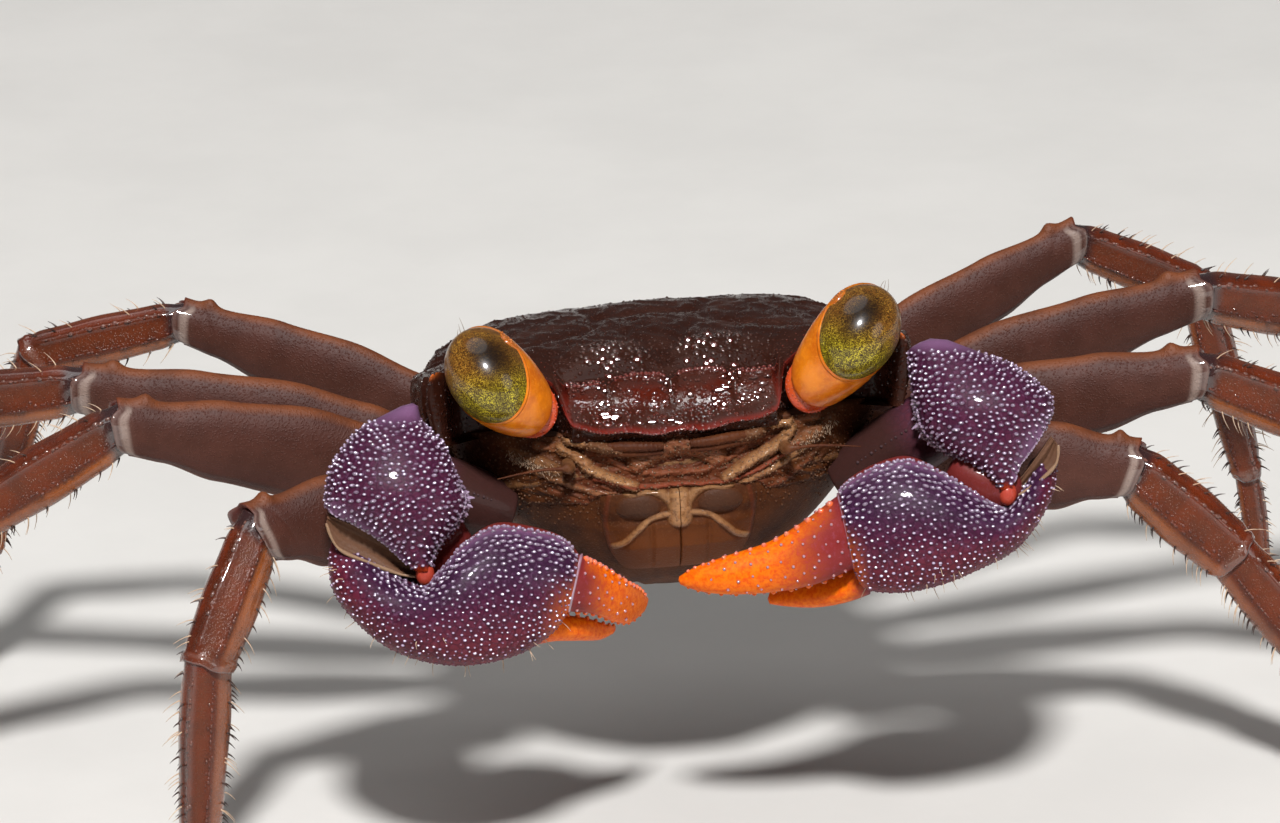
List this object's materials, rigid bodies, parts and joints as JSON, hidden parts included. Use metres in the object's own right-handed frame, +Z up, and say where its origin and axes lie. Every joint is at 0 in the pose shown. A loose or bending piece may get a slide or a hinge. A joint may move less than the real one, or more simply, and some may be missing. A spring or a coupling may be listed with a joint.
{
  "type": "vampire crab",
  "caption": "Life-size still model of a small land crab in a standing pose, with knobbly violet claws, orange claw fingers, stalked gold eyes and long walking legs.",
  "frame": {"origin": "centre of the box round the whole crab, at floor level", "axes": "+Z up; the crab faces -Y, and its own left side is +X"},
  "size_m": [0.0705, 0.0228, 0.0216],
  "materials": {
    "shell": "glossy wet shell, dark red-brown going to brown-black over the back",
    "belly": "satin brown shell with tan folds round the mouth",
    "claw": "glossy violet to plum shell set with pearly granules",
    "finger": "glossy orange, purple-red at the root",
    "leg": "glossy red-brown shell, orange at the joints",
    "stalk": "glossy orange skin",
    "eye": "polished gold-brown cornea with a dark patch"
  },
  "bodies": {
    "root": {"carapace": "shell", "underbody": "belly", "epistome": "belly", "maxilliped_right": "belly", "maxilliped_left": "belly", "pleon": "belly", "eye_right": "eye", "eye_left": "eye", "eyestalk_right": "stalk", "eyestalk_left": "stalk", "antenna_right": "stalk", "antenna_left": "stalk", "claw_right_merus": "claw", "claw_right_carpus": "claw", "claw_right_palm": "claw", "claw_right_finger": "finger", "claw_left_merus": "claw", "claw_left_carpus": "claw", "claw_left_palm": "claw", "claw_left_finger": "finger", "leg1_right_merus": "leg", "leg1_right_carpus": "leg", "leg1_right_propodus": "leg", "leg1_right_dactyl": "leg", "leg2_right_merus": "leg", "leg2_right_carpus": "leg", "leg2_right_propodus": "leg", "leg2_right_dactyl": "leg", "leg3_right_merus": "leg", "leg3_right_carpus": "leg", "leg3_right_propodus": "leg", "leg3_right_dactyl": "leg", "leg4_right_merus": "leg", "leg4_right_carpus": "leg", "leg4_right_propodus": "leg", "leg4_right_dactyl": "leg", "leg1_left_merus": "leg", "leg1_left_carpus": "leg", "leg1_left_propodus": "leg", "leg1_left_dactyl": "leg", "leg2_left_merus": "leg", "leg2_left_carpus": "leg", "leg2_left_propodus": "leg", "leg2_left_dactyl": "leg", "leg3_left_merus": "leg", "leg3_left_carpus": "leg", "leg3_left_propodus": "leg", "leg3_left_dactyl": "leg", "leg4_left_merus": "leg", "leg4_left_carpus": "leg", "leg4_left_propodus": "leg", "leg4_left_dactyl": "leg"}
  },
  "joints": []
}
